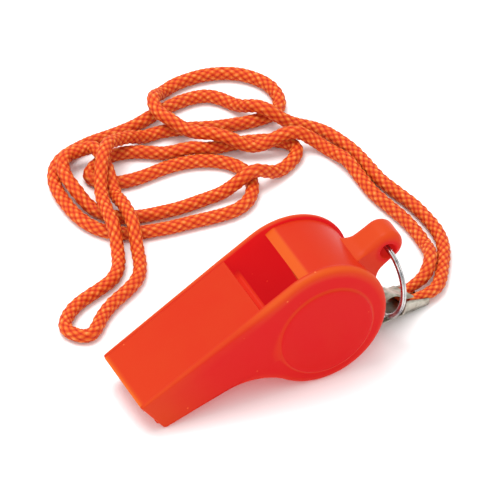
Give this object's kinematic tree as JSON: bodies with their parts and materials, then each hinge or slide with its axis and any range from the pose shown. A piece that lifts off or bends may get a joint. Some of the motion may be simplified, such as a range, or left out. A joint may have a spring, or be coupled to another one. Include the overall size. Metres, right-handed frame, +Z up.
{
  "type": "pea whistle with lanyard",
  "caption": "Plastic pea whistle with a side-plate barrel, top window, rear lug, split ring, crimped ferrule and a doubled braided cord lanyard.",
  "frame": {"origin": "on the surface the whistle lies on, under the middle of the whistle's own box, without the lanyard", "axes": "+X from the mouthpiece to the lug, +Y across the whistle towards the lanyard, +Z up"},
  "size_m": [0.0717, 0.0835, 0.0244],
  "materials": {
    "whistle_plastic": "fluorescent orange-red satin-gloss moulded plastic",
    "pea_cork": "natural cork ball",
    "ring_steel": "bright plated spring steel wire",
    "ferrule_nickel": "nickel-plated folded strip",
    "cord_braid": "bright orange braided polypropylene cord"
  },
  "bodies": {
    "whistle": {"whistle_body": "whistle_plastic", "side_cover": "whistle_plastic"},
    "pea": {"pea": "pea_cork"},
    "ring": {"split_ring": "ring_steel"},
    "lanyard": {"cord_ferrule": "ferrule_nickel", "lanyard_cord": "cord_braid"}
  },
  "joints": [
    {"name": "pea_orbit", "type": "hinge", "parent": "whistle", "child": "pea", "pos_m": [0.00817, 0, 0.0122], "axis": [0, 1, 0], "continuous": true},
    {"name": "ring_swing", "type": "hinge", "parent": "whistle", "child": "ring", "pos_m": [0.02319, 0, 0.01916], "axis": [0, -1, 0], "range_deg": [-2, 225]},
    {"name": "ferrule_turn", "type": "hinge", "parent": "ring", "child": "lanyard", "pos_m": [0.0219, 0, 0.00442], "axis": [0, -1, 0], "range_deg": [-226, 3]}
  ],
  "couplings": [
    {"joint": "ferrule_turn", "follows": "ring_swing", "ratio": -1}
  ]
}
